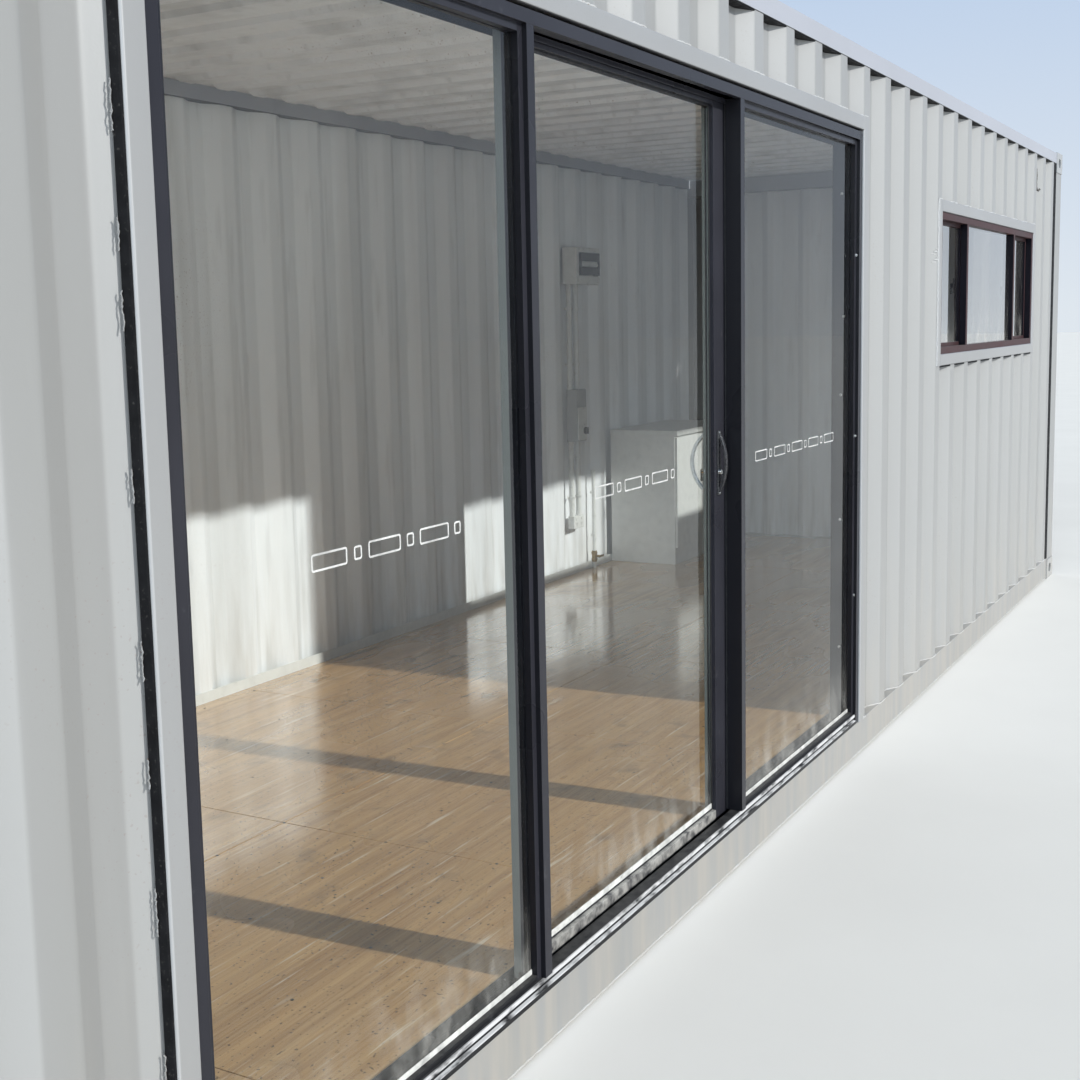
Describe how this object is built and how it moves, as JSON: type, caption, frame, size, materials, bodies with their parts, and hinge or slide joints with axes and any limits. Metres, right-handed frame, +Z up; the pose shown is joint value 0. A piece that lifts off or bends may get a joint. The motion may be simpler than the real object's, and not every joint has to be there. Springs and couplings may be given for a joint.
{
  "type": "shipping container cabin",
  "caption": "Steel freight container made into a cabin, with a sliding glass door and a long window cut into one corrugated side and cargo doors at one end.",
  "frame": {"origin": "on the ground under the middle of the container", "axes": "+X along the container towards the windowed end, -Y out of the glazed side, +Z up"},
  "size_m": [12.192, 2.438, 2.591],
  "materials": {
    "wall_paint": "satin paint, dusty",
    "casting_paint": "thick satin paint over a rough casting",
    "frame_paint": "satin paint over welded tube",
    "underside_paint": "matt black coating",
    "plywood": "worn, varnished",
    "dark_aluminium": "dark bronze anodised, satin",
    "clear_glass": "clear, polished",
    "roller_plastic": "smooth",
    "handle_metal": "dark satin",
    "white_trim": "white paint, satin",
    "white_plastic": "slightly glossy",
    "grey_plastic": "slightly glossy"
  },
  "bodies": {
    "cabin": {"back_skirting": "white_trim", "back_wall": "wall_paint", "bottom_side_rails": "wall_paint", "cargo_door_back": "wall_paint", "cargo_door_front": "wall_paint", "cargo_lock_rods": "frame_paint", "corner_castings": "casting_paint", "corner_cupboard": "white_trim", "corner_posts": "wall_paint", "distribution_board": "white_plastic", "door_fixed_glass": "clear_glass", "door_head": "dark_aluminium", "door_jambs": "dark_aluminium", "door_mullions": "dark_aluminium", "door_sill": "dark_aluminium", "door_steel_header": "frame_paint", "door_steel_posts": "frame_paint", "end_headers": "wall_paint", "end_sills": "wall_paint", "floor_cross_members": "underside_paint", "front_wall_left": "wall_paint", "front_wall_middle": "wall_paint", "front_wall_over_door": "wall_paint", "front_wall_over_window": "wall_paint", "front_wall_right": "wall_paint", "front_wall_under_window": "wall_paint", "isolator_box": "grey_plastic", "plywood_floor": "plywood", "power_outlet": "white_plastic", "right_end_wall": "wall_paint", "roof_sheet": "wall_paint", "top_side_rails": "wall_paint", "wall_conduits": "white_plastic", "water_pipe": "white_plastic", "window_frame": "dark_aluminium", "window_glass": "clear_glass", "window_mullions": "dark_aluminium", "window_sashes": "dark_aluminium", "window_steel_beams": "frame_paint", "window_steel_posts": "frame_paint"},
    "sliding_panel": {"sliding_panel_glass": "clear_glass", "sliding_panel_handles": "handle_metal", "sliding_panel_rails": "dark_aluminium", "sliding_panel_rollers": "roller_plastic", "sliding_panel_stiles": "dark_aluminium"}
  },
  "joints": [
    {"name": "panel_slide", "type": "slide", "parent": "cabin", "child": "sliding_panel", "axis": [-1, 0, 0], "range_m": [0, 1.08]}
  ]
}
